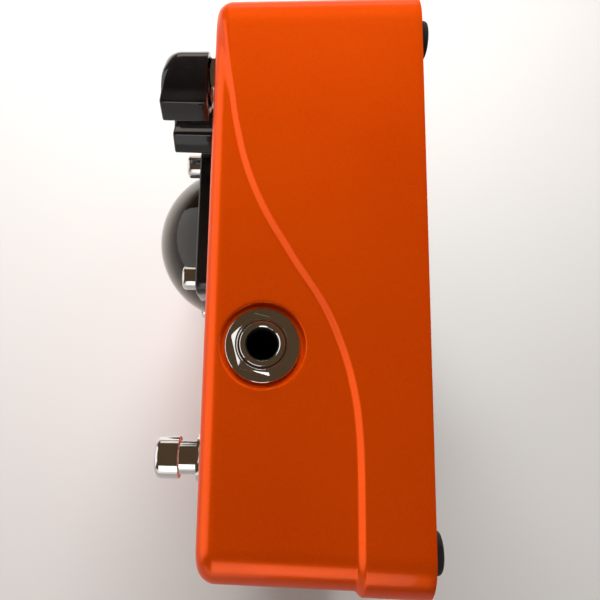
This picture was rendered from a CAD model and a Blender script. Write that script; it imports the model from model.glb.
import math

import bmesh
import bpy
import numpy as np
from mathutils import Matrix, Vector

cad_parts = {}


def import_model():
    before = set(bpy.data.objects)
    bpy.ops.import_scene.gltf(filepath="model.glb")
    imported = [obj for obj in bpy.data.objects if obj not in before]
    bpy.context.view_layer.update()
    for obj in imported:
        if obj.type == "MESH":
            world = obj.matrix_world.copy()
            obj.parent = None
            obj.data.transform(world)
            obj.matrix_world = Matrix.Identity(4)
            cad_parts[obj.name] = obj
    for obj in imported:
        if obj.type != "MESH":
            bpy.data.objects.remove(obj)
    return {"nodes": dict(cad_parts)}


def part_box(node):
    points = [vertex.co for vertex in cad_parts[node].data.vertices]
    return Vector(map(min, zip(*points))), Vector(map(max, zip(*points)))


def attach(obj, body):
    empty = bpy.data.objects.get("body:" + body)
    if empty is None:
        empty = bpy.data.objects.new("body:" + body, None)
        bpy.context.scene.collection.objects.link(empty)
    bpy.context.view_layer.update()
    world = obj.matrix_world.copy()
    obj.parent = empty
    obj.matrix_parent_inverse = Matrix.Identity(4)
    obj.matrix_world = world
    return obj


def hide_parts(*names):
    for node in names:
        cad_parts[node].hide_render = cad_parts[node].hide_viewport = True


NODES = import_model()["nodes"]
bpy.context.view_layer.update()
MM = 0.001


def low(node):
    """Lower corner of a CAD node's box."""
    return [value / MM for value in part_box(node)[0]]


def high(node):
    """Upper corner of a CAD node's box."""
    return [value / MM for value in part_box(node)[1]]


def mid(node):
    return [(a + b) / 2 for a, b in zip(low(node), high(node))]


def plan_at(node):
    """Centre of a node in plan, at height 0."""
    return (*mid(node)[:2], 0)


def z_span(node):
    return low(node)[2], high(node)[2]


# ---------------------------------------------------------------- dimensions
RIM = low("enclosure_shell")[2]
FACE = low("dome_gasket")[2]
HALF_X, HALF_Y = high("enclosure_shell")[:2]
LIFT = RIM - 4.5  # heights listed for a rim at 4.5 are raised by this
STEP = 1.1  # how far the wall is set in above the step line
STEP_WIDTH = 1.75  # breadth of the step, measured across the line
SIDE_TAPER = math.tan(math.radians(1.6))  # right and left walls
END_TAPER = math.tan(math.radians(1.25))  # rear and front walls
PLAN_R = 8.8  # vertical corners
EDGE_R = 3.7  # edge between walls and face
RIM_LIP = 0.7
ROOM_TOP = FACE - 2.55  # ceiling of the hollow

# Step line round the walls: (y, height for a rim at 4.5). It rises towards the rear.
STEP_LINE = [
    (-75, 18), (-62, 18), (-50.9, 18), (-44, 18.03), (-38.1, 18.1), (-34, 18.25),
    (-30.6, 18.5), (-24.8, 19.3), (-19.7, 20.5), (-14.9, 22.1), (-10.5, 23.9), (-6.4, 26.1),
    (-2.7, 28.5), (1.1, 31.0), (5.3, 33.5), (9.6, 36.1), (14.8, 38.7), (22, 41.4),
    (30.2, 43.4), (41, 45.2), (50, 46.7), (60, 48.8), (70, 52), (80, 56),
]

SIDES = (("right", 1, "+X"), ("left", -1, "-X"))  # name, sign of x, outward axis
# Knob position: (turn of the pointer, turn of the nut below it), degrees
KNOBS = {
    "right_outer": (-70, 23),
    "right_inner": (-60, 22),
    "left_inner": (150, 8),
    "left_outer": (60, 41),
}
KNOB_R, KNOB_TIP, POINTER_HALF = 7.2, 10.4, 3.3

PLATE_BOTTOM, PLATE_TOP = z_span("base_plate")
DOME_AT = plan_at("lamp_dome")
DOME_Z = 47.8 + LIFT  # height of the centre of the lamp's spheres
FLANGE_BOTTOM = low("lamp_dome")[2]
FLANGE_TOP = FLANGE_BOTTOM + 1.9
CLAMP_TOP = high("dome_clamp_right")[2]
SOCKET_FLOOR = abs(low("jack_washer_right")[0])  # x of the recess floor
BUSH_SEAT = 77.35  # x where the socket's case ends
RECESS_R = 8.2


# ---------------------------------------------------------------- mesh helpers
def smooth(obj, sharp=32.0):
    obj.data.shade_smooth()
    obj.data.set_sharp_from_angle(angle=math.radians(sharp))


def build(name, verts, faces, mat, sharp=32.0, matrix=None):
    mesh = bpy.data.meshes.new(name)
    mesh.from_pydata((np.asarray(verts, dtype=float) * MM).tolist(), [], faces)
    if matrix is not None:
        mesh.transform(matrix)
    work = bmesh.new()
    work.from_mesh(mesh)
    bmesh.ops.remove_doubles(work, verts=work.verts, dist=1e-7)
    bmesh.ops.dissolve_degenerate(work, edges=work.edges, dist=1e-8)
    bmesh.ops.recalc_face_normals(work, faces=work.faces)
    work.to_mesh(mesh)
    work.free()
    obj = bpy.data.objects.new(name, mesh)
    bpy.context.scene.collection.objects.link(obj)
    mesh.materials.append(mat)
    smooth(obj, sharp)
    return obj


def loft(rings, cap_start=True, cap_end=True, loop=False):
    """Vertices and faces of a skin over rings of equal length."""
    count = len(rings[0])
    verts = [point for ring in rings for point in ring]
    faces = []
    for k in range(len(rings) - (0 if loop else 1)):
        this, following = k * count, ((k + 1) % len(rings)) * count
        for i in range(count):
            j = (i + 1) % count
            faces.append((this + i, this + j, following + j, following + i))
    if not loop:
        if cap_start:
            faces.append(tuple(reversed(range(count))))
        if cap_end:
            faces.append(tuple(range((len(rings) - 1) * count, len(rings) * count)))
    return verts, faces


def prism(rings):
    """A capped loft whose two caps come first in the face list."""
    verts, faces = loft(rings)
    return verts, faces[-2:] + faces[:-2]


AXIS_TURN = {
    "+Z": Matrix.Identity(3),
    "+X": Matrix(((0, 0, 1), (1, 0, 0), (0, 1, 0))),
    "-X": Matrix(((0, 0, -1), (1, 0, 0), (0, 1, 0))),
    "+Y": Matrix(((1, 0, 0), (0, 0, 1), (0, 1, 0))),
}


def place(axis, at):
    """Turns local +Z to a frame axis, then moves to a point in mm."""
    return Matrix.Translation(Vector(at) * MM) @ AXIS_TURN[axis].to_4x4()


def round_profile(points, steps=5):
    """Points (radius, height) or (radius, height, rounding); rounded corners become arcs."""
    out = []
    for i, point in enumerate(points):
        rounding = point[2] if len(point) > 2 else 0
        if rounding <= 0 or i in (0, len(points) - 1):
            out.append(point[:2])
            continue
        corner, before, after = (Vector(points[k][:2]) for k in (i, i - 1, i + 1))
        back, ahead = (before - corner).normalized(), (after - corner).normalized()
        angle = back.angle(ahead)
        reach = min(
            rounding / math.tan(angle / 2),
            0.499 * (before - corner).length,
            0.499 * (after - corner).length,
        )
        radius = reach * math.tan(angle / 2)
        centre = corner + (back + ahead).normalized() * (radius / math.sin(angle / 2))
        start, end = corner + back * reach - centre, corner + ahead * reach - centre
        first = math.atan2(start.y, start.x)
        sweep = (math.atan2(end.y, end.x) - first + math.pi) % (2 * math.pi) - math.pi
        for k in range(steps + 1):
            turn = first + sweep * k / steps
            out.append((centre.x + radius * math.cos(turn), centre.y + radius * math.sin(turn)))
    return out


def thread(radius, bottom, top, pitch=0.75, depth=0.22):
    out = []
    z = bottom
    while z + pitch <= top + 1e-6:
        out += [(radius - depth, z), (radius, z + pitch * 0.42), (radius, z + pitch * 0.58)]
        z += pitch
    out.append((radius - depth, z))
    return out


def rod(radius, bottom, top):
    """Profile of a plain cylinder."""
    return [(0, bottom), (radius, bottom), (radius, top), (0, top)]


def chamfered_rod(radius, bottom, face, chamfer):
    """Profile that cuts a hole chamfered at a face, running 1 mm past it."""
    wide = radius + chamfer
    return [(0, bottom), (radius, bottom), (radius, face - chamfer), (wide, face),
            (wide, face + 1), (0, face + 1)]


def washer_profile(inner, outer, bottom, top, rounding):
    return round_profile([
        (inner, bottom), (outer, bottom), (outer, top, rounding), (inner, top), (inner, bottom),
    ])[:-1]


def cap_arc(radius, base, start, steps, rise=None):
    """Profile of a cap from a start angle up to the axis; rise differs from radius if oval."""
    rise = rise or radius
    angles = np.linspace(start, math.pi / 2, steps)[:-1]
    arc = [(radius * math.cos(a), base + rise * math.sin(a)) for a in angles]
    return [*arc, (0.0, base + rise)]


def circle_angles(segs):
    return [2 * math.pi * i / segs for i in range(segs)]


def spun_rings(angles, sections):
    """Rings from one (radius, height) section per angle."""
    return [
        [(radius * math.cos(a), radius * math.sin(a), z) for a, (radius, z) in zip(angles, row)]
        for row in zip(*sections)
    ]


def lathe(name, profile, mat, at=(0, 0, 0), axis="+Z", segs=96, loop=False, sharp=32.0):
    rings = spun_rings(circle_angles(segs), [profile] * segs)
    skin = loft(rings, profile[0][0] > 1e-6, profile[-1][0] > 1e-6, loop)
    return build(name, *skin, mat, sharp, place(axis, at))


# Degrees after each hexagon corner at which a side has a vertex, closer near the corners
HEX_STATIONS = (
    0, 0.35, 0.8, 1.4, 2.4, 4, 7, 12, 18, 24, 30, 36, 42, 48, 53, 56, 57.6, 58.6, 59.2, 59.65,
)


def hex_angles(turn):
    return [math.radians(turn + 60 * k + step) for k in range(6) for step in HEX_STATIONS]


def hex_radius(across, angle, turn, clip=None):
    """Distance to a hexagon with corners at turn + 60k degrees, blunted beyond clip."""
    from_flat = (math.degrees(angle) - turn) % 60 - 30
    radius = across / 2 / math.cos(math.radians(from_flat))
    if clip:
        radius = min(radius, clip + 0.35 * max(0.0, radius - clip))
    return radius


def hex_nut(name, across, bore, bottom, top, turn, at, axis="+Z"):
    angles = hex_angles(turn)
    crown = across / 2 * 0.955
    clip = across / math.sqrt(3) * 0.972

    def section(angle):
        outer = hex_radius(across, angle, turn, clip)
        drop = (outer - crown) * math.tan(math.radians(27))
        return [
            (bore, bottom), (outer - 0.14, bottom), (outer, bottom + 0.14),
            (outer, top - drop - 0.10), (outer - 0.02, top - drop - 0.03),
            (outer - 0.08, top - drop + 0.02), (crown + 0.05, top - 0.04), (crown - 0.06, top),
            (bore + 0.38, top), (bore + 0.3, top - 0.04), (bore, top - 0.34),
        ]

    rings = spun_rings(angles, [section(a) for a in angles])
    return build(name, *loft(rings, loop=True), CHROME, 24.0, place(axis, at))


def rounded_rect(half_x, half_y, radius, steps=8):
    points = []
    for sign_x, sign_y, start in ((1, 1, 0), (-1, 1, 90), (-1, -1, 180), (1, -1, 270)):
        for i in range(steps + 1):
            a = math.radians(start + 90 * i / steps)
            points.append((
                sign_x * (half_x - radius) + radius * math.cos(a),
                sign_y * (half_y - radius) + radius * math.sin(a),
            ))
    return points


def bake_modifiers(obj):
    bpy.context.view_layer.update()
    depsgraph = bpy.context.evaluated_depsgraph_get()
    mesh = bpy.data.meshes.new_from_object(obj.evaluated_get(depsgraph))
    obj.modifiers.clear()
    old = obj.data
    obj.data = mesh
    bpy.data.meshes.remove(old)


def cut(obj, cutters, sharp=32.0):
    """Subtracts the cutters, deletes them and triangulates the many-sided faces left."""
    group = bpy.data.collections.new("cut")
    bpy.context.scene.collection.children.link(group)
    for cutter in cutters:
        for owner in list(cutter.users_collection):
            owner.objects.unlink(cutter)
        group.objects.link(cutter)
    modifier = obj.modifiers.new("cut", "BOOLEAN")
    modifier.operation = "DIFFERENCE"
    modifier.solver = "EXACT"
    modifier.operand_type = "COLLECTION"
    modifier.collection = group
    bake_modifiers(obj)
    for cutter in cutters:
        bpy.data.objects.remove(cutter)
    bpy.data.collections.remove(group)
    work = bmesh.new()
    work.from_mesh(obj.data)
    bmesh.ops.triangulate(work, faces=[face for face in work.faces if len(face.verts) > 4])
    work.to_mesh(obj.data)
    work.free()
    smooth(obj, sharp)


def extrude(name, outline, bottom, top, mat, bevel=0.0, segs=3, limit=50):
    rings = [[(x, y, z) for x, y in outline] for z in (bottom, top)]
    obj = build(name, *prism(rings), mat)
    if bevel > 0:
        modifier = obj.modifiers.new("edge", "BEVEL")
        modifier.width = bevel * MM
        modifier.segments = segs
        modifier.limit_method = "ANGLE"
        modifier.angle_limit = math.radians(limit)
        bake_modifiers(obj)
        smooth(obj)
    return obj


def join(name, parts):
    """One object from several, with their materials merged."""
    work = bmesh.new()
    mats = []
    for part in parts:
        slots = []
        for mat in part.data.materials:
            if mat not in mats:
                mats.append(mat)
            slots.append(mats.index(mat))
        start = len(work.faces)
        work.from_mesh(part.data)
        work.faces.ensure_lookup_table()
        for face in work.faces[start:]:
            face.material_index = slots[face.material_index]
    mesh = bpy.data.meshes.new(name)
    work.to_mesh(mesh)
    work.free()
    for mat in mats:
        mesh.materials.append(mat)
    for part in parts:
        bpy.data.objects.remove(part)
    obj = bpy.data.objects.new(name, mesh)
    bpy.context.scene.collection.objects.link(obj)
    smooth(obj)
    return obj


def stand_in(obj, node, body="chassis"):
    """Lets a piece ride on a body in place of a CAD node."""
    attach(obj, body)
    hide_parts(node)


# ---------------------------------------------------------------- materials
class Finish:
    """A Principled material under construction. Pattern sizes and bump depths are in mm."""

    def __init__(self, name, **inputs):
        self.mat = bpy.data.materials.new(name)
        self.mat.use_nodes = True
        self.tree = self.mat.node_tree
        self.tree.nodes.clear()
        self.out = self.add("ShaderNodeOutputMaterial")
        self.bsdf = self.add("ShaderNodeBsdfPrincipled")
        self.feed(self.bsdf.outputs[0], self.out.inputs[0])
        self.coord = self.add("ShaderNodeTexCoord").outputs["Object"]
        self.set(**inputs)

    def add(self, kind):
        return self.tree.nodes.new(kind)

    def feed(self, value, socket):
        """Links an output to a socket, or sets a plain value on it."""
        if hasattr(value, "is_output"):
            self.tree.links.new(value, socket)
        else:
            socket.default_value = value

    def set(self, **inputs):
        for key, value in inputs.items():
            self.feed(value, self.bsdf.inputs[key.replace("_", " ")])

    def noise(self, size, detail=3.0, rough=0.5, scale=None, distortion=0.0):
        """Noise; scale stretches it by axis, a smaller number giving longer streaks."""
        vector = self.coord
        if scale:
            mapping = self.add("ShaderNodeMapping")
            self.feed(vector, mapping.inputs["Vector"])
            mapping.inputs["Scale"].default_value = scale
            vector = mapping.outputs[0]
        node = self.add("ShaderNodeTexNoise")
        self.feed(vector, node.inputs["Vector"])
        node.inputs["Scale"].default_value = 1000.0 / size
        node.inputs["Detail"].default_value = detail
        node.inputs["Roughness"].default_value = rough
        node.inputs["Distortion"].default_value = distortion
        return node.outputs["Fac"]

    def cells(self, size, out="Distance", rand=1.0):
        node = self.add("ShaderNodeTexVoronoi")
        self.feed(self.coord, node.inputs["Vector"])
        node.inputs["Scale"].default_value = 1000.0 / size
        node.inputs["Randomness"].default_value = rand
        return node.outputs[out]

    def span(self, value, over=(0.3, 0.7), to=(0.0, 1.0)):
        """Maps the range over to the range to, clamped."""
        node = self.add("ShaderNodeMapRange")
        self.feed(value, node.inputs[0])
        for i, limit in enumerate((*over, *to)):
            node.inputs[1 + i].default_value = limit
        return node.outputs[0]

    def calc(self, operation, first, second):
        node = self.add("ShaderNodeMath")
        node.operation = operation
        self.feed(first, node.inputs[0])
        self.feed(second, node.inputs[1])
        return node.outputs[0]

    def mix(self, factor, *colors):
        """Blends from the first to the second color; each is linear RGB or an output."""
        node = self.add("ShaderNodeMix")
        node.data_type = "RGBA"
        self.feed(factor, node.inputs[0])
        for socket, color in zip(node.inputs[6:8], colors):
            self.feed(color if hasattr(color, "is_output") else (*color, 1.0), socket)
        return node.outputs[2]

    def bump(self, height, depth, strength=1.0, base=None):
        node = self.add("ShaderNodeBump")
        self.feed(height, node.inputs["Height"])
        node.inputs["Distance"].default_value = depth * MM
        node.inputs["Strength"].default_value = strength
        if base is not None:
            self.feed(base, node.inputs["Normal"])
        return node.outputs[0]


def paint_finish():
    look = Finish("orange_enamel", IOR=1.5)
    cloud = look.noise(size=38, detail=2.0)
    fleck = look.cells(size=0.32, out="Color")
    split = look.add("ShaderNodeSeparateColor")
    look.feed(fleck, split.inputs[0])
    deep = look.mix(look.span(cloud), (0.84, 0.069, 0.0003), (0.90, 0.082, 0.0005))
    glint = look.span(split.outputs[0], over=(0.0, 1.0), to=(0.0, 0.14))
    bright = look.mix(glint, deep, (1.0, 0.17, 0.002))
    # settled dust and tiny paint nibs
    speck = look.cells(size=7.5)
    patch = look.noise(size=16, detail=1.0)
    dust = look.calc("LESS_THAN", speck, look.span(patch, over=(0.45, 0.75), to=(0.0, 0.030)))
    color = look.mix(look.calc("MULTIPLY", dust, 0.55), bright, (0.95, 0.74, 0.60))
    peel = look.noise(size=2.6, detail=2.0, rough=0.4)
    nib = look.span(speck, over=(0.0, 0.03), to=(1.0, 0.0))
    normal = look.bump(peel, depth=0.012, strength=0.5)
    normal = look.bump(nib, depth=0.03, strength=0.25, base=normal)
    smear = look.noise(size=22, detail=4.0, rough=0.6, distortion=0.6)
    hair = look.noise(size=0.5, detail=2.0, scale=(0.03, 1.0, 0.6))
    rough = look.calc(
        "ADD",
        look.span(smear, to=(0.30, 0.37)),
        look.span(hair, over=(0.62, 0.8), to=(0.0, 0.05)),
    )
    look.set(
        Base_Color=color, Roughness=rough, Metallic=0.55, Normal=normal,
        Specular_Tint=(1.0, 0.42, 0.08, 1.0), Coat_Weight=0.25,
        Coat_Roughness=look.span(smear, to=(0.03, 0.07)), Coat_IOR=1.5,
    )
    return look.mat


def chrome_finish():
    tone = (0.80, 0.79, 0.78)
    look = Finish("chrome_plate", Metallic=1.0)
    cloud = look.noise(size=6)
    lines = look.noise(size=0.22, detail=2.0, rough=0.6, scale=(1.0, 0.12, 1.0))
    pit = look.span(look.cells(size=1.1), over=(0.0, 0.06), to=(1.0, 0.0))
    color = look.mix(look.span(cloud, over=(0.35, 0.7)), tone, tuple(c * 0.90 for c in tone))
    color = look.mix(look.calc("MULTIPLY", pit, 0.5), color, (0.30, 0.26, 0.22))
    rough = look.calc(
        "ADD",
        look.span(cloud, to=(0.06, 0.12)),
        look.span(lines, over=(0.55, 0.8), to=(0.0, 0.05)),
    )
    look.set(
        Base_Color=color, Roughness=rough,
        Normal=look.bump(lines, depth=0.002, strength=0.35),
    )
    return look.mat


def steel_finish():
    look = Finish("brushed_steel", Metallic=1.0)
    grain = look.noise(size=0.35, rough=0.6, scale=(1.0, 0.06, 1.0))
    cloud = look.noise(size=9)
    color = look.mix(look.span(grain), (0.46, 0.46, 0.47), (0.60, 0.60, 0.61))
    stain = look.span(cloud, over=(0.5, 0.8), to=(0.0, 0.35))
    color = look.mix(stain, color, (0.34, 0.32, 0.30))
    look.set(
        Base_Color=color, Roughness=look.span(grain, to=(0.26, 0.44)),
        Normal=look.bump(grain, depth=0.006, strength=0.6),
    )
    return look.mat


def black_finish(name, tone, rough, coat, grain, depth, scuff):
    """A dark moulding; grain is the pore size, depth its relief, scuff the grey of wear."""
    look = Finish(name, IOR=1.5)
    smear = look.noise(size=7, detail=4.0, rough=0.6, distortion=0.4)
    pore = look.noise(size=grain, rough=0.6)
    wear = look.noise(size=1.6, detail=5.0, rough=0.65)
    lighter = tuple(min(1.0, c * 1.5 + 0.002) for c in tone)
    color = look.mix(look.span(smear, over=(0.35, 0.7)), tone, lighter)
    worn = look.span(wear, over=(0.66, 0.80), to=(0.0, scuff))
    color = look.mix(worn, color, (0.085, 0.083, 0.085))
    look.set(
        Base_Color=color,
        Roughness=look.calc(
            "ADD",
            look.span(smear, to=(rough, rough * 1.35 + 0.02)),
            look.span(wear, over=(0.6, 0.8), to=(0.0, 0.10)),
        ),
        Normal=look.bump(pore, depth=depth, strength=0.6),
        Coat_Weight=coat, Coat_Roughness=0.05,
    )
    return look.mat


def rubber_finish():
    look = Finish("black_rubber", IOR=1.45)
    pore = look.noise(size=0.30, detail=4.0, rough=0.7)
    dust = look.noise(size=3.2, detail=4.0, rough=0.6)
    bands = look.noise(size=0.7, detail=2.0, scale=(0.2, 0.2, 1.0))
    dusty = look.span(dust, over=(0.45, 0.75), to=(0.0, 0.5))
    color = look.mix(dusty, (0.012, 0.012, 0.013), (0.045, 0.043, 0.041))
    normal = look.bump(pore, depth=0.02, strength=0.8)
    normal = look.bump(bands, depth=0.03, strength=0.4, base=normal)
    look.set(
        Base_Color=color, Roughness=look.span(pore, to=(0.62, 0.84)), Normal=normal,
        Sheen_Weight=0.15, Sheen_Roughness=0.5,
    )
    return look.mat


def smoke_finish():
    look = Finish("smoked_lens", IOR=1.46)
    swirl = look.noise(size=26, distortion=0.7)
    smudge = look.noise(size=5, detail=5.0, rough=0.6)
    color = look.mix(look.span(swirl), (0.105, 0.078, 0.049), (0.126, 0.094, 0.060))
    mote = look.span(look.cells(size=3.4), over=(0.0, 0.035), to=(0.7, 0.0))
    color = look.mix(mote, color, (0.75, 0.72, 0.68))
    look.set(
        Base_Color=color, Roughness=look.span(smudge, over=(0.35, 0.75), to=(0.03, 0.10)),
        Transmission_Weight=0.94, Normal=look.bump(smudge, depth=0.004, strength=0.3),
        Coat_Weight=0.25, Coat_Roughness=0.02,
    )
    return look.mat


def lens_finish():
    look = Finish("red_lens", IOR=1.49)
    cloud = look.noise(size=2.0)
    ribs = look.noise(size=0.6, detail=2.0, scale=(1.0, 1.0, 0.3))
    color = look.mix(look.span(cloud), (0.55, 0.012, 0.010), (0.78, 0.030, 0.020))
    look.set(
        Base_Color=color, Roughness=look.span(cloud, to=(0.05, 0.14)),
        Transmission_Weight=0.45, Normal=look.bump(ribs, depth=0.01, strength=0.3),
        Coat_Weight=0.4, Coat_Roughness=0.03,
    )
    return look.mat


def board_finish():
    look = Finish("circuit_laminate", IOR=1.5)
    lanes_y = look.noise(size=2.2, detail=1.0, rough=0.4, scale=(1.0, 0.15, 1.0))
    lanes_x = look.noise(size=2.2, detail=1.0, rough=0.4, scale=(0.15, 1.0, 1.0))
    pads = look.cells(size=3.1, rand=0.35)
    weave = look.noise(size=0.5, detail=2.0)
    trace = look.calc(
        "MAXIMUM",
        look.span(lanes_y, over=(0.56, 0.60)),
        look.span(lanes_x, over=(0.58, 0.62)),
    )
    color = look.mix(trace, (0.008, 0.070, 0.030), (0.020, 0.130, 0.055))
    pad = look.calc("LESS_THAN", pads, 0.16)
    color = look.mix(pad, color, (0.62, 0.58, 0.50))
    look.set(
        Base_Color=color, Metallic=look.calc("MULTIPLY", pad, 0.9),
        Roughness=look.span(weave, to=(0.28, 0.42)),
        Normal=look.bump(trace, depth=0.03, strength=0.6),
    )
    return look.mat


def ink_finish(name, tone):
    look = Finish(name, IOR=1.45)
    edge = look.noise(size=0.25, rough=0.6)
    cloud = look.noise(size=2.5)
    thin = tuple(min(1.0, c * 0.82 + 0.01) for c in tone)
    color = look.mix(look.span(edge, over=(0.35, 0.7)), tone, thin)
    look.set(
        Base_Color=color, Roughness=look.span(cloud, to=(0.38, 0.52)),
        Normal=look.bump(edge, depth=0.01, strength=0.4),
    )
    return look.mat


PAINT = paint_finish()
CHROME = chrome_finish()
STEEL = steel_finish()
GLOSS = black_finish("gloss_moulding", tone=(0.0028, 0.0028, 0.0034), rough=0.10, coat=0.5,
                     grain=0.9, depth=0.004, scuff=0.10)
CLAMP = black_finish("clamp_moulding", tone=(0.006, 0.0055, 0.0055), rough=0.16, coat=0.35,
                     grain=0.7, depth=0.006, scuff=0.12)
MATTE = black_finish("matte_moulding", tone=(0.013, 0.013, 0.014), rough=0.45, coat=0.0,
                     grain=0.35, depth=0.012, scuff=0.35)
CORE = black_finish("lamp_moulding", tone=(0.010, 0.008, 0.007), rough=0.38, coat=0.0,
                    grain=0.5, depth=0.012, scuff=0.25)
PLATE = black_finish("plate_powder", tone=(0.016, 0.016, 0.017), rough=0.46, coat=0.0,
                     grain=0.42, depth=0.030, scuff=0.30)
RUBBER = rubber_finish()
SMOKE = smoke_finish()
LENS = lens_finish()
BOARD = board_finish()
WHITE_INK = ink_finish("white_ink", tone=(0.78, 0.77, 0.74))
BLACK_INK = ink_finish("black_ink", tone=(0.012, 0.012, 0.013))


# ---------------------------------------------------------------- enclosure
def plan_stations():
    """Rows (span_x, span_y, normal_x, normal_y) round the outline.

    The spans run from -1 to 1 over the straights; the normal points outwards.
    """
    corner_steps = 14
    # start, end, outward normal, stations on the straight
    straights = [
        ((1, -1), (1, 1), (1, 0), 132),
        ((1, 1), (-1, 1), (0, 1), 72),
        ((-1, 1), (-1, -1), (-1, 0), 132),
        ((-1, -1), (1, -1), (0, -1), 72),
    ]
    rows = []
    for start, end, normal, count in straights:
        for i in range(count):
            t = i / count
            rows.append((*(a + (b - a) * t for a, b in zip(start, end)), *normal))
        first = math.atan2(normal[1], normal[0])
        for k in range(corner_steps):
            a = first + math.pi / 2 * k / corner_steps
            rows.append((*end, math.cos(a), math.sin(a)))
    return rows


def hermite(xs, ys, x):
    """Smooth curve through the points, with its slope."""
    slopes = np.gradient(ys, xs)
    i = np.clip(np.searchsorted(xs, x) - 1, 0, len(xs) - 2)
    gap = xs[i + 1] - xs[i]
    t = (x - xs[i]) / gap
    y = (
        (2 * t**3 - 3 * t**2 + 1) * ys[i]
        + (t**3 - 2 * t**2 + t) * gap * slopes[i]
        + (-2 * t**3 + 3 * t**2) * ys[i + 1]
        + (t**3 - t**2) * gap * slopes[i + 1]
    )
    slope = (
        (6 * t**2 - 6 * t) * ys[i]
        + (3 * t**2 - 4 * t + 1) * gap * slopes[i]
        + (-6 * t**2 + 6 * t) * ys[i + 1]
        + (3 * t**2 - 2 * t) * gap * slopes[i + 1]
    ) / gap
    return y, slope


def ramp(t, end=0.34):
    """0 to 1 with a straight middle and rounded ends; end is the share of each end."""
    t = np.clip(t, 0, 1)
    steep = 1 / (1 - end)
    start_part = steep * t * t / (2 * end)
    middle = steep * (t - end / 2)
    end_part = 1 - steep * (1 - t) ** 2 / (2 * end)
    return np.where(t < end, start_part, np.where(t > 1 - end, end_part, middle))


def enclosure_skin():
    span_x, span_y, normal_x, normal_y = np.array(plan_stations()).T
    line_y, line_z = np.array(STEP_LINE, float).T
    plan_y = span_y * (HALF_Y - PLAN_R) + normal_y * PLAN_R
    step_z, slope = hermite(line_y, line_z + LIFT, plan_y)
    tilt = 1 / np.sqrt(1 + slope**2)

    # wall heights, crowded together near the step line
    wall_rows = 66
    fine = np.linspace(RIM + RIM_LIP, FACE - EDGE_R, 900)
    heights = np.zeros((wall_rows + 1, len(span_x)))
    for i in range(len(span_x)):
        density = 1 + 7.0 * np.exp(-(((fine - step_z[i]) * tilt[i] / 1.15) ** 2))
        share = np.concatenate([[0], np.cumsum((density[1:] + density[:-1]) / 2)])
        share /= share[-1]
        heights[:, i] = np.interp(np.linspace(0, 1, wall_rows + 1), share, fine)

    def ring(z, inset):
        below = ramp((step_z - z) * tilt / STEP_WIDTH + 0.5)
        radius = PLAN_R + (-STEP * (1 - below) - inset)
        half_x = HALF_X - (z - RIM) * SIDE_TAPER
        half_y = HALF_Y - (z - RIM) * END_TAPER
        x = span_x * (half_x - PLAN_R) + normal_x * radius
        y = span_y * (half_y - PLAN_R) + normal_y * radius
        return np.stack([x, y, z + 0 * x], 1).tolist()

    rings = []
    # underside of the rim, sloping down and out at 45 degrees
    for angle in (0, 22.5, 45, 67.5):
        rise = RIM_LIP * (1 - math.sin(math.radians(angle)))
        rings.append(ring(RIM + rise, rise))
    for row in heights:
        rings.append(ring(row, 0))
    for k in range(1, 13):
        a = math.pi / 2 * k / 12
        rings.append(ring(FACE - EDGE_R * (1 - math.sin(a)), EDGE_R * (1 - math.cos(a))))
    rings.append(ring(FACE, EDGE_R + 0.45))
    return loft(rings)


def side_cutters(side, sign, axis):
    """Socket recess in one flank, with the switch and light holes on that side."""
    centre = mid(f"jack_washer_{side}")[1:]
    recess = round_profile([(0, 0), (RECESS_R, 0, 0.35), (RECESS_R, 4), (0, 4)])
    cutters = [
        lathe("c_recess", recess, PAINT, (sign * SOCKET_FLOOR, *centre), axis),
        lathe("c_bore", rod(4.8, 0, 12), PAINT, (sign * 72, *centre), axis, 64),
    ]
    # rounded mouth of the recess, square to the leaning wall
    lip, proud = 0.85, 0.02
    mouth = [(0, -lip + proud)]
    for k in range(9):
        a = math.pi / 2 * k / 8
        mouth.append((RECESS_R + lip * (1 - math.cos(a)), -lip + lip * math.sin(a) + proud))
    mouth += [(RECESS_R + lip, 2.0), (0, 2.0)]
    skin = loft(spun_rings(circle_angles(96), [mouth] * 96), cap_start=False, cap_end=False)
    wall = HALF_X - STEP - (centre[1] - RIM) * SIDE_TAPER
    lean = Matrix.Rotation(-sign * math.radians(1.6), 4, "Y")
    matrix = Matrix.Translation(Vector((sign * wall, *centre)) * MM) @ lean
    cutters.append(build("c_lip", *skin, PAINT, matrix=matrix @ place(axis, (0, 0, 0))))
    cutters.append(lathe("c_switch", rod(6.2, ROOM_TOP - 1, FACE + 1), PAINT,
                         plan_at(f"switch_washer_{side}"), segs=48))
    cutters.append(lathe("c_led", chamfered_rod(2.7, ROOM_TOP - 1, FACE, 0.25), PAINT,
                         plan_at(f"status_led_{side}"), segs=48))
    return cutters


def enclosure():
    shell = build("enclosure", *enclosure_skin(), PAINT)
    # the hollow: half x, half y, corner radius, height
    room = [
        (78.2, 59.9, 6.2, RIM - 1),
        (77.4, 59.2, 5.6, ROOM_TOP - 1.2),
        (76.3, 58.1, 4.6, ROOM_TOP),
    ]
    rings = [[(x, y, z) for x, y in rounded_rect(*plan)] for *plan, z in room]
    cutters = [build("c_room", *loft(rings), PAINT)]
    for side in SIDES:
        cutters += side_cutters(*side)
    for tag in KNOBS:
        cutters.append(lathe("c_pot", rod(3.6, ROOM_TOP - 1, FACE + 1), PAINT,
                             plan_at(f"pot_nut_{tag}"), segs=40))
    cutters.append(
        lathe("c_lamp", rod(13.2, ROOM_TOP - 1, FACE + 1), PAINT, DOME_AT, segs=64))
    x, _, z = mid("power_inlet")
    inlet = [(0, 50), (6.2, 50), (6.2, 61.6), (8.2, 61.6), (8.2, 62.7), (8.45, 63.05),
             (8.45, 66), (0, 66)]
    cutters.append(lathe("c_inlet", inlet, PAINT, (x, 0, z), "+Y", 72))
    cut(shell, cutters, sharp=34)
    stand_in(shell, "enclosure_shell")


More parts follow.
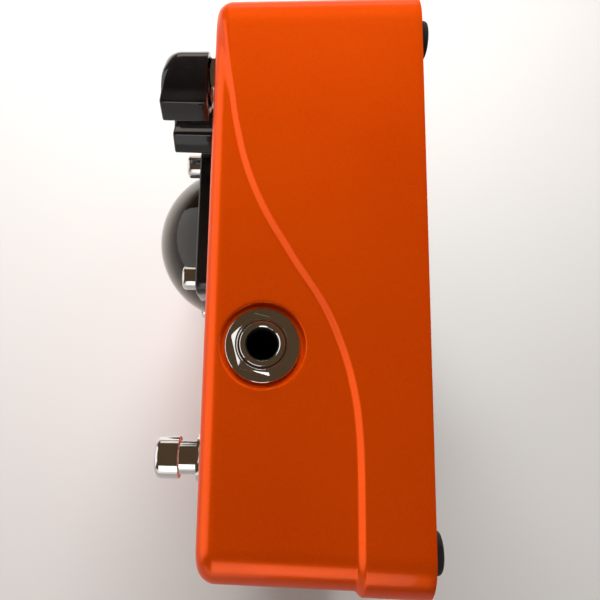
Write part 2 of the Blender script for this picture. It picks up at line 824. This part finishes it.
# ---------------------------------------------------------------- base plate, screws, feet
def base_cover():
    half_x, half_y = high("base_plate")[:2]
    # inset and height up the plate's edge
    edge = [(0.35, PLATE_BOTTOM), (0.12, PLATE_BOTTOM + 0.08), (0.0, PLATE_BOTTOM + 0.35),
            (0.0, PLATE_TOP - 0.2), (0.2, PLATE_TOP)]
    rings = [
        [(x, y, z) for x, y in rounded_rect(half_x - inset, half_y - inset, 6 - inset, 10)]
        for inset, z in edge
    ]
    plate = build("base_cover", *loft(rings), PLATE)
    sink = [(0, PLATE_BOTTOM - 0.5), (3.45, PLATE_BOTTOM - 0.5), (3.45, PLATE_BOTTOM + 0.05),
            (1.85, PLATE_BOTTOM + 1.55), (1.85, PLATE_TOP + 1), (0, PLATE_TOP + 1)]
    cut(plate, [
        lathe("c_sink", sink, PLATE, plan_at(f"base_screw_{i}"), segs=40) for i in range(1, 5)
    ])
    stand_in(plate, "base_plate")


def cover_screw(number):
    """Countersunk screw, head down, with a cross recess."""
    node = f"base_screw_{number}"
    at = plan_at(node)
    # radius, height above the plate's underside, rounding
    stations = [(0, 0.08, 0), (2.0, 0.1, 0), (3.1, 0.18, 0.1), (3.1, 0.36, 0.1), (1.5, 1.72, 0),
                (1.5, 9.9, 0.3), (0, 9.9, 0)]
    profile = round_profile([(radius, PLATE_BOTTOM + z, arc) for radius, z, arc in stations])
    screw = lathe(f"cover_screw_{number}", profile, STEEL, at, segs=48)
    half_wide, half_long = 0.42, 1.75
    bars = []
    for degrees in (0, 90):
        a = math.radians(degrees + 17 * number)
        outline = [
            (x * math.cos(a) - y * math.sin(a) + at[0], x * math.sin(a) + y * math.cos(a) + at[1])
            for x, y in ((-half_long, -half_wide), (half_long, -half_wide),
                         (half_long, half_wide), (-half_long, half_wide))
        ]
        bars.append(extrude("c_cross", outline, PLATE_BOTTOM - 1, PLATE_BOTTOM + 1.1, STEEL))
    cut(screw, bars)
    stand_in(screw, node)


def rubber_foot(tag):
    node = f"foot_{tag}"
    top = high(node)[2]
    radius = high(node)[0] - mid(node)[0]
    profile = round_profile([
        (0, 0.3), (1.9, 0.28), (2.2, 0.0, 0.12), (radius - 0.45, 0.0, 0.75),
        (radius - 0.05, 1.5, 1.0), (radius, top - 0.25, 0.15), (radius - 0.3, top, 0.1), (0, top),
    ], 6)
    foot = lathe(f"rubber_foot_{tag}", profile, RUBBER, plan_at(node), segs=72)
    stand_in(foot, node)


# ---------------------------------------------------------------- lamp
def smoked_dome():
    outer_r = high("lamp_dome")[2] - DOME_Z
    inner_r = outer_r - 2.0
    flange = high("lamp_dome")[0]
    outer = cap_arc(outer_r, DOME_Z, math.asin((FLANGE_TOP - DOME_Z) / outer_r), 42)
    inner = cap_arc(inner_r, DOME_Z, math.asin((FLANGE_BOTTOM - DOME_Z) / inner_r), 42)
    profile = [
        *inner[::-1], (flange - 0.2, FLANGE_BOTTOM), (flange, FLANGE_BOTTOM + 0.2),
        (flange, FLANGE_TOP - 0.25), (flange - 0.25, FLANGE_TOP), *outer,
    ]
    dome = lathe("smoked_dome", profile, SMOKE, DOME_AT, segs=128, sharp=28)
    stand_in(dome, "lamp_dome")


def lamp_core():
    bottom, top = z_span("lamp_core")
    radius = top - DOME_Z
    seat = FACE + 0.6
    arc = cap_arc(radius, DOME_Z, math.asin((seat + 0.5 - DOME_Z) / radius), 36)
    foot_r = arc[0][0]
    profile = [(0, bottom), (12.4, bottom), (12.6, bottom + 0.2), (12.6, seat),
               (foot_r - 0.4, seat), (foot_r, seat + 0.2), *arc]
    core = lathe("lamp_reflector", profile, CORE, DOME_AT)
    # radius, height for a rim at 4.5
    well = [(0, 61), (2.6, 61), (2.6, 64.8), (3.4, 68), (3.4, 71), (0, 71)]
    well = [(r, z + LIFT) for r, z in well]
    cut(core, [
        lathe("c_well", well, CORE, plan_at(f"lamp_led_{side}"), segs=32)
        for side in ("right", "left")
    ])
    stand_in(core, "lamp_core")


def lamp_lens(side):
    node = f"lamp_led_{side}"
    bottom, top = z_span(node)
    profile = [(0, bottom), (2.5, bottom), (2.5, bottom + 0.9), (2.35, bottom + 1.0),
               *cap_arc(2.35, top - 2.35, 0, 10)]
    stand_in(lathe(f"lamp_lens_{side}", profile, LENS, plan_at(node), segs=40), node)


def dome_clamp(side, sign):
    """Bracket over one side of the dome's flange, hollowed to the dome's curve."""
    end_x, half_y = high("dome_clamp_right")[0], high("dome_clamp_right")[1] - DOME_AT[1]
    start_x, corner_r, hollow_r = 14.0, 4.9, 25.0
    points = [(start_x, -half_y)]
    for end, start in ((-1, -90), (1, 0)):
        for k in range(13):
            a = math.radians(start + 90 * k / 12)
            points.append((
                end_x - corner_r + corner_r * math.cos(a),
                end * (half_y - corner_r) + corner_r * math.sin(a),
            ))
    points.append((start_x, half_y))
    limit = math.acos(start_x / hollow_r)
    for a in np.linspace(limit, -limit, 49):
        points.append((hollow_r * math.cos(a), hollow_r * math.sin(a)))
    points = [(sign * x + DOME_AT[0], y + DOME_AT[1]) for x, y in points]
    clamp = extrude(f"dome_bracket_{side}", points, FACE, CLAMP_TOP, CLAMP,
                    bevel=0.9, segs=4, limit=40)
    groove = rod(27.35, FACE - 1, FLANGE_TOP + 0.05)
    cutters = [lathe("c_groove", groove, CLAMP, DOME_AT, segs=120)]
    for end in ("rear", "front"):
        cutters.append(lathe("c_bolt", chamfered_rod(2.2, FACE - 1, CLAMP_TOP, 0.3), CLAMP,
                             plan_at(f"clamp_bolt_{end}_{side}"), segs=32))
    cut(clamp, cutters, sharp=34)
    stand_in(clamp, f"dome_clamp_{side}")


def clamp_bolt(end, side, turn):
    """Round-headed bolt with a hexagon socket."""
    node = f"clamp_bolt_{end}_{side}"
    bottom, top = z_span(node)
    radius = (high(node)[0] - low(node)[0]) / 2
    edge = 0.95
    outside = [(0.001, bottom), (1.9, bottom), (2.0, bottom + 0.2), (2.0, CLAMP_TOP),
               (radius - 0.2, CLAMP_TOP), (radius, CLAMP_TOP + 0.2)]
    for k in range(7):
        a = math.pi / 2 * k / 6
        outside.append((radius - edge + edge * math.cos(a), top - edge + edge * math.sin(a)))

    def section(angle):
        key = hex_radius(3.0, angle, turn)
        return [*outside, (key + 0.16, top), (key, top - 0.16), (key, top - 2.1),
                (key - 0.5, top - 2.3), (0, top - 2.5)]

    angles = hex_angles(turn)
    skin = loft(spun_rings(angles, [section(a) for a in angles]), cap_end=False)
    matrix = place("+Z", plan_at(node))
    bolt = build(f"bracket_bolt_{end}_{side}", *skin, CHROME, 30, matrix)
    stand_in(bolt, node)


# ---------------------------------------------------------------- knobs
def knob_outline():
    """Points and outward normals of a round body with a parallel-sided pointer along +X."""
    tip_r, fillet = 0.75, 1.3
    half = []  # the +Y half, from the middle of the tip to the far side of the body
    for k in range(5):
        y = (POINTER_HALF - tip_r) * k / 5
        across = y / POINTER_HALF
        half.append((KNOB_TIP - 0.12 * across ** 2, y, 1.0, 0.08 * y / POINTER_HALF))
    for k in range(8):
        a = math.pi / 2 * k / 7
        half.append((
            KNOB_TIP - tip_r - 0.05 + tip_r * math.cos(a),
            POINTER_HALF - tip_r + tip_r * math.sin(a), math.cos(a), math.sin(a),
        ))
    # concave fillet between the pointer and the round body
    fillet_y = POINTER_HALF + fillet
    fillet_x = math.sqrt((KNOB_R + fillet) ** 2 - fillet_y ** 2)
    body_start = math.atan2(fillet_y, fillet_x)
    bar_x = half[-1][0]
    for k in range(1, 4):
        half.append((bar_x + (fillet_x - bar_x) * k / 4, POINTER_HALF, 0.0, 1.0))
    for k in range(7):
        a = -math.pi / 2 + (body_start - math.pi / 2) * k / 6
        half.append((fillet_x + fillet * math.cos(a), fillet_y + fillet * math.sin(a),
                     -math.cos(a), -math.sin(a)))
    for k in range(1, 37):
        a = body_start + (math.pi - body_start) * k / 36
        half.append((KNOB_R * math.cos(a), KNOB_R * math.sin(a), math.cos(a), math.sin(a)))
    out = []
    for x, y, normal_x, normal_y in half:
        length = math.hypot(normal_x, normal_y)
        out.append((x, y, normal_x / length, normal_y / length))
    return out + [(x, -y, nx, -ny) for x, y, nx, ny in out[1:-1][::-1]]


def knob_section(x, y, normal_x, normal_y, bottom, top, shaft_top):
    """One vertical run over the knob, from the shaft bore out, up and over the top."""
    around = math.atan2(y, x)
    # the top edge is tight at the pointer and soft round the body
    k = min(1.0, max(0.0, (abs(around) - 0.30) / 1.5))
    edge = 0.58 + 4.0 * k * k * (3 - 2 * k)
    under = [(2.98, shaft_top), (2.98, FACE + 4.7), (6.0, FACE + 4.7), (6.0, bottom + 0.2),
             (6.2, bottom)]
    points = [(r * math.cos(around), r * math.sin(around), z) for r, z in under]
    # inset from the outline, height
    side = [(0.35, bottom), (0.10, bottom + 0.06), (0.0, bottom + 0.35)]
    for k in range(1, 6):
        rise = k / 5
        side.append((0.1 * rise, bottom + 0.35 + (top - edge - bottom - 0.35) * rise))
    for k in range(1, 11):
        a = math.pi / 2 * k / 10
        side.append((0.1 + edge * 0.92 * (1 - math.cos(a)), top - edge * (1 - math.sin(a))))
    points += [(x - normal_x * inset, y - normal_y * inset, z) for inset, z in side]
    last_x, last_y, _ = points[-1]
    return points + [(last_x * size, last_y * size, top) for size in (0.86, 0.6, 0.3)]


def knob(tag, turn):
    node, body = f"knob_{tag}", f"knob_{tag}"
    bottom, top = z_span(node)
    shaft_top = high(f"pot_shaft_{tag}")[2] + 0.02
    matrix = place("+Z", plan_at(f"pot_shaft_{tag}")) @ Matrix.Rotation(
        math.radians(turn), 4, "Z")
    sections = [knob_section(*point, bottom, top, shaft_top) for point in knob_outline()]
    rings = list(zip(*sections))
    obj = build(f"pointer_knob_{tag}", *loft(rings), GLOSS, 30, matrix)
    stand_in(obj, node, body)

    # inlaid pointer line on the flat top
    half_wide = 0.42
    outline = []
    for end_x, start in ((1.2, math.pi / 2), (8.1, -math.pi / 2)):
        for k in range(7):
            a = start + math.pi * k / 6
            outline.append((end_x + half_wide * math.cos(a), half_wide * math.sin(a)))
    rings = [[(x, y, z) for x, y in outline] for z in (top - 0.15, top + 0.01)]
    rings.append([(x * 0.995 + 0.02, y * 0.86, top + 0.035) for x, y in outline])
    mark = build(f"pointer_line_{tag}", *prism(rings), WHITE_INK, 30, matrix)
    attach(mark, body)


def dial_ticks():
    """Printed ticks round each knob, with a gap of three; the first and last are bolder."""
    verts, faces = [], []
    inner = 10.95
    for tag in KNOBS:
        centre = mid(f"pot_nut_{tag}")
        for k in range(11):
            if k in (4, 5, 6):
                continue
            a = math.radians(-72 + 31 * k)
            outer, half_wide = (12.0, 0.26) if k in (0, 10) else (11.7, 0.19)
            outline = []
            for t in circle_angles(12):
                end = outer - half_wide if math.cos(t) > 0 else inner + half_wide
                x, y = end + half_wide * math.cos(t), half_wide * math.sin(t)
                outline.append((centre[0] + x * math.cos(a) - y * math.sin(a),
                                centre[1] + x * math.sin(a) + y * math.cos(a)))
            tick_verts, tick_faces = prism(
                [[(x, y, z) for x, y in outline] for z in (FACE - 0.05, FACE + 0.025)])
            start = len(verts)
            verts += tick_verts
            faces += [tuple(start + i for i in face) for face in tick_faces]
    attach(build("dial_ticks", verts, faces, BLACK_INK, 30), "chassis")


# ---------------------------------------------------------------- foot switches, status lights
def foot_switch(side, nut_turn):
    node = f"switch_body_{side}"
    washer = f"switch_washer_{side}"
    at = plan_at(washer)
    box_low, box_high = low(node), high(node)
    half_x, half_y = (box_high[0] - box_low[0]) / 2, (box_high[1] - box_low[1]) / 2
    outline = [(x + at[0], y + at[1]) for x, y in rounded_rect(half_x, half_y, 0.8, 4)]
    case = extrude("case", outline, box_low[2], ROOM_TOP - 0.02, MATTE, bevel=0.3, segs=2)
    cut(case, [lathe("c_well", rod(5.5, ROOM_TOP - 10, ROOM_TOP + 1), MATTE, at, segs=48)])
    top = box_high[2]
    profile = [
        (4.08, ROOM_TOP - 5), (5.9, ROOM_TOP - 5), (5.9, ROOM_TOP - 0.5),
        *thread(5.9, ROOM_TOP - 0.5, top - 0.45),
        (5.6, top - 0.05), (5.5, top), (4.35, top), (4.08, top - 0.27),
    ]
    bush = lathe("bush", profile, CHROME, at, segs=72, loop=True)
    stand_in(join(f"footswitch_{side}", [case, bush]), node)

    profile = washer_profile(6.1, high(washer)[0] - at[0], *z_span(washer), 0.25)
    obj = lathe(f"switch_ring_{side}", profile, STEEL, at, segs=72, loop=True)
    stand_in(obj, washer)
    node = f"switch_nut_{side}"
    nut = hex_nut(f"switch_hex_{side}", 14.0, 6.0, *z_span(node), nut_turn, at)
    stand_in(nut, node)

    node = f"switch_plunger_{side}"
    bottom, top = z_span(node)
    profile = round_profile([
        (0, bottom), (5.2, bottom, 0.2), (5.2, bottom + 2, 0.2), (4.0, bottom + 2),
        (4.0, FACE + 8.0, 0.15), (5.05, FACE + 8.02, 0.12), (5.05, top - 0.35, 1.75),
        (2.6, top - 0.12, 3.0), (0, top),
    ], 9)
    obj = lathe(f"switch_button_{side}", profile, CHROME, at, sharp=40)
    stand_in(obj, node, f"plunger_{side}")


def status_light(side):
    node = f"status_led_{side}"
    bottom, top = z_span(node)
    profile = [(0, bottom), (2.5, bottom), (2.5, FACE + 0.05),
               *cap_arc(2.5, FACE + 0.05, 0.05, 14, rise=top - FACE - 0.05)]
    obj = lathe(f"status_lens_{side}", profile, LENS, plan_at(node), segs=56)
    stand_in(obj, node)


# ---------------------------------------------------------------- audio sockets, power inlet
def audio_socket(side, sign, axis, nut_turn):
    centre = mid(f"jack_washer_{side}")[1:]
    inner_x = abs(low("jack_body_right")[0])
    at = (sign * inner_x, *centre)
    seat = BUSH_SEAT - inner_x
    length = high("jack_body_right")[0] - inner_x
    case = extrude("case", rounded_rect(7.4, 7.9, 1.0, 4), 0, seat, MATTE, bevel=0.35, segs=2)
    outwards = Matrix(((0, 0, sign), (0, 1, 0), (1, 0, 0))).to_4x4()
    case.data.transform(Matrix.Translation(Vector(at) * MM) @ outwards)
    if sign > 0:  # here the matrix mirrors the mesh
        case.data.flip_normals()
    cut(case, [lathe("c_tunnel", rod(3.3, -2, seat + 2), MATTE, at, axis, 48)])
    profile = [
        (3.25, seat - 3), (4.25, seat - 3), (4.25, seat - 0.5),
        *thread(4.5, seat - 0.5, length - 0.4, 0.6, 0.2),
        (4.36, length - 0.12), (4.24, length), (3.58, length), (3.42, length - 0.06),
        (3.25, length - 0.26),
    ]
    bush = lathe("bush", profile, CHROME, at, axis, loop=True)
    profile = [(3.24, 0.3), (3.24, length - 0.9), (3.05, length - 0.9), (3.05, 0.3)]
    liner = lathe("liner", profile, MATTE, at, axis, 64, loop=True)
    stand_in(join(f"socket_{side}", [case, bush, liner]), f"jack_body_{side}")

    profile = washer_profile(4.7, 7.4, SOCKET_FLOOR, high("jack_washer_right")[0], 0.3)
    profile = [(radius, z - SOCKET_FLOOR) for radius, z in profile]
    at = (sign * SOCKET_FLOOR, *centre)
    obj = lathe(f"socket_ring_{side}", profile, CHROME, at, axis, loop=True)
    stand_in(obj, f"jack_washer_{side}")

    start, end = abs(low("jack_nut_right")[0]), high("jack_nut_right")[0]
    at = (sign * start, *centre)
    nut = hex_nut(f"socket_nut_{side}", 11.0, 4.6, 0.0, end - start, nut_turn, at, axis)
    stand_in(nut, f"jack_nut_{side}")


def power_inlet():
    node = "power_inlet"
    x, _, z = mid(node)
    inner, outer = low(node)[1], high(node)[1]
    profile = round_profile([
        (0, inner), (5.95, inner, 0.3), (5.95, outer - 1.9), (7.9, outer - 1.9),
        (7.9, outer, 0.45), (4.1, outer), (3.75, outer - 0.35, 0.1), (3.0, outer - 0.35, 0.2),
        (3.0, outer - 10), (0, outer - 10),
    ])
    shell = lathe("inlet_shell", profile, MATTE, (x, 0, z), "+Y", 80)
    profile = round_profile(
        [(0, outer - 10.4), (1.05, outer - 10.4), (1.05, outer - 0.9, 0.5), (0, outer - 0.9)])
    pin = lathe("inlet_pin", profile, CHROME, (x, 0, z), "+Y", 32)
    stand_in(join("power_socket", [shell, pin]), node)


def finish_kept_nodes():
    """Materials for the CAD nodes that stay as they are."""
    kept = {
        "dome_gasket": RUBBER, "power_inlet_nut": STEEL, "circuit_board": BOARD,
        "capacitor_large": MATTE, "capacitor_small": MATTE,
    }
    for tag in KNOBS:
        kept[f"pot_body_{tag}"] = STEEL
        kept[f"pot_shaft_{tag}"] = STEEL
    for node, mat in kept.items():
        obj = NODES[node]
        if not obj.material_slots:
            obj.data.materials.append(mat)
        for slot in obj.material_slots:
            slot.material = mat


enclosure()
base_cover()
for screw_number in range(1, 5):
    cover_screw(screw_number)
for foot_tag in ("rear_right", "rear_left", "front_right", "front_left"):
    rubber_foot(foot_tag)
smoked_dome()
lamp_core()
lamp_lens("right")
lamp_lens("left")
for side_name, side_sign, _ in SIDES:
    dome_clamp(side_name, side_sign)
    clamp_bolt("rear", side_name, turn=12)
    clamp_bolt("front", side_name, turn=40)
for knob_tag, (knob_turn, pot_nut_turn) in KNOBS.items():
    knob(knob_tag, knob_turn)
    pot_nut = f"pot_nut_{knob_tag}"
    stand_in(hex_nut(f"panel_nut_{knob_tag}", 12.0, 3.55, FACE, high(pot_nut)[2], pot_nut_turn,
                     plan_at(pot_nut)), pot_nut)
dial_ticks()
for side_name, switch_nut_turn in (("right", 15), ("left", 37)):
    foot_switch(side_name, switch_nut_turn)
    status_light(side_name)
for socket_side, socket_nut_turn in zip(SIDES, (15, 31)):
    audio_socket(*socket_side, socket_nut_turn)
power_inlet()
finish_kept_nodes()

# ---------------------------------------------------------------- camera, in metres
scene = bpy.context.scene


def add_camera():
    """Looks at the right flank, lying on its side: the view's right is nearly straight down."""
    swing, roll = math.radians(11.11), math.radians(1.11)
    down = Vector((0, 0, -1))
    rearward = Vector((math.sin(swing), math.cos(swing), 0))
    view_right = down * math.cos(roll) + rearward * math.sin(roll)
    view_up = down * -math.sin(roll) + rearward * math.cos(roll)
    view_back = Vector((math.cos(swing), -math.sin(swing), 0))
    data = bpy.data.cameras.new("camera")
    data.sensor_width = 36.0
    data.lens = 38.4
    data.shift_x = 1 / 24
    data.clip_start = 0.005
    data.clip_end = 20
    camera = bpy.data.objects.new("camera", data)
    scene.collection.objects.link(camera)
    matrix = Matrix((view_right, view_up, view_back)).transposed().to_4x4()
    matrix.translation = Vector((0.2042, -0.0314, 0.0348 + LIFT * MM))
    camera.matrix_world = matrix
    scene.camera = camera


# ---------------------------------------------------------------- studio, in metres
def stage_finish(name, near):
    """A pale matt surface seen only by some cameras.

    near=True shows it to a low camera beside the right flank, near=False to all others.
    """
    look = Finish(name)
    cloud = look.noise(size=180)
    grit = look.noise(size=1.2, detail=2.0)
    look.set(
        Base_Color=look.mix(look.span(cloud), (0.74, 0.74, 0.745), (0.77, 0.77, 0.775)),
        Roughness=look.span(grit, to=(0.65, 0.8)),
    )
    # the camera's own place in the world
    place_node = look.add("ShaderNodeVectorTransform")
    place_node.vector_type = "POINT"
    place_node.convert_from = "CAMERA"
    place_node.convert_to = "WORLD"
    place_node.inputs[0].default_value = (0, 0, 0)
    split = look.add("ShaderNodeSeparateXYZ")
    look.feed(place_node.outputs[0], split.inputs[0])
    max_z, min_x = 0.06, 0.1  # bounds of a low camera beside the flank
    is_low = look.calc("LESS_THAN", split.outputs[2], max_z)
    beside = look.calc("MULTIPLY", is_low, look.calc("GREATER_THAN", split.outputs[0], min_x))
    hide = look.calc("SUBTRACT", 1.0, beside) if near else beside
    clear = look.add("ShaderNodeBsdfTransparent")
    blend = look.add("ShaderNodeMixShader")
    look.feed(hide, blend.inputs[0])
    look.feed(look.bsdf.outputs[0], blend.inputs[1])
    look.feed(clear.outputs[0], blend.inputs[2])
    look.feed(blend.outputs[0], look.out.inputs[0])
    return look.mat


def sheet(name, centre, along, across, mat, half=2.5):
    centre, along, across = Vector(centre), Vector(along), Vector(across)
    corners = ((-1, -1), (1, -1), (1, 1), (-1, 1))
    points = [tuple(centre + along * a * half + across * b * half) for a, b in corners]
    mesh = bpy.data.meshes.new(name)
    mesh.from_pydata(points, [], [(0, 1, 2, 3)])
    mesh.materials.append(mat)
    obj = bpy.data.objects.new(name, mesh)
    scene.collection.objects.link(obj)


def softbox(name, at, size, power, target=(0, 0, 0.03), color=(1, 1, 1)):
    light = bpy.data.lights.new(name, "AREA")
    light.shape = "RECTANGLE"
    light.size, light.size_y = size
    light.energy = power
    light.color = color
    light.spread = math.pi
    obj = bpy.data.objects.new(name, light)
    obj.location = at
    obj.rotation_mode = "QUATERNION"
    obj.rotation_quaternion = (Vector(target) - Vector(at)).to_track_quat("-Z", "Y")
    scene.collection.objects.link(obj)
    return obj


def add_world():
    """White to the camera, a dim warm glow to everything else."""
    world = bpy.data.worlds.new("studio")
    world.use_nodes = True
    tree = world.node_tree
    tree.nodes.clear()
    out = tree.nodes.new("ShaderNodeOutputWorld")
    backdrop = tree.nodes.new("ShaderNodeBackground")
    backdrop.inputs["Color"].default_value = (1, 1, 1, 1)
    backdrop.inputs["Strength"].default_value = 1.0
    glow = tree.nodes.new("ShaderNodeBackground")
    glow.inputs["Color"].default_value = (0.32, 0.20, 0.11, 1)
    glow.inputs["Strength"].default_value = 0.26
    path = tree.nodes.new("ShaderNodeLightPath")
    blend = tree.nodes.new("ShaderNodeMixShader")
    tree.links.new(path.outputs["Is Camera Ray"], blend.inputs[0])
    tree.links.new(glow.outputs[0], blend.inputs[1])
    tree.links.new(backdrop.outputs[0], blend.inputs[2])
    tree.links.new(blend.outputs[0], out.inputs[0])
    scene.world = world


add_camera()
sheet("floor", (0, 0, -0.0001), (1, 0, 0), (0, 1, 0), stage_finish("floor_paper", near=False))
sheet("side_floor", (-0.0835, 0, 0), (0, 1, 0), (0, 0, 1), stage_finish("side_paper", near=True))
softbox("key_face", at=(0.20, 0.05, 1.10), size=(1.5, 1.5), power=8.0)
softbox("strip_rear", at=(-0.08, 0.95, 0.08), size=(0.5, 0.5), power=0.8,
        color=(1.0, 0.90, 0.80))
softbox("window", at=(0.42, -0.79, 0.08), size=(0.5, 0.4), power=1.1,
        target=(0.03, -0.02, 0.03))
wash = softbox("wash_rear", at=(0.30, 0.34, 0.06), size=(0.30, 0.30), power=3.5,
               target=(0.08, 0.04, 0.03), color=(1.0, 0.98, 0.95))
wash.visible_glossy = False
softbox("fill_front", at=(-0.25, -1.0, 0.5), size=(1.1, 0.9), power=2.6)
softbox("fill_left", at=(-1.0, 0.1, 0.5), size=(1.1, 0.9), power=3.6)
add_world()
scene.view_settings.view_transform = "Standard"
scene.view_settings.look = "None"
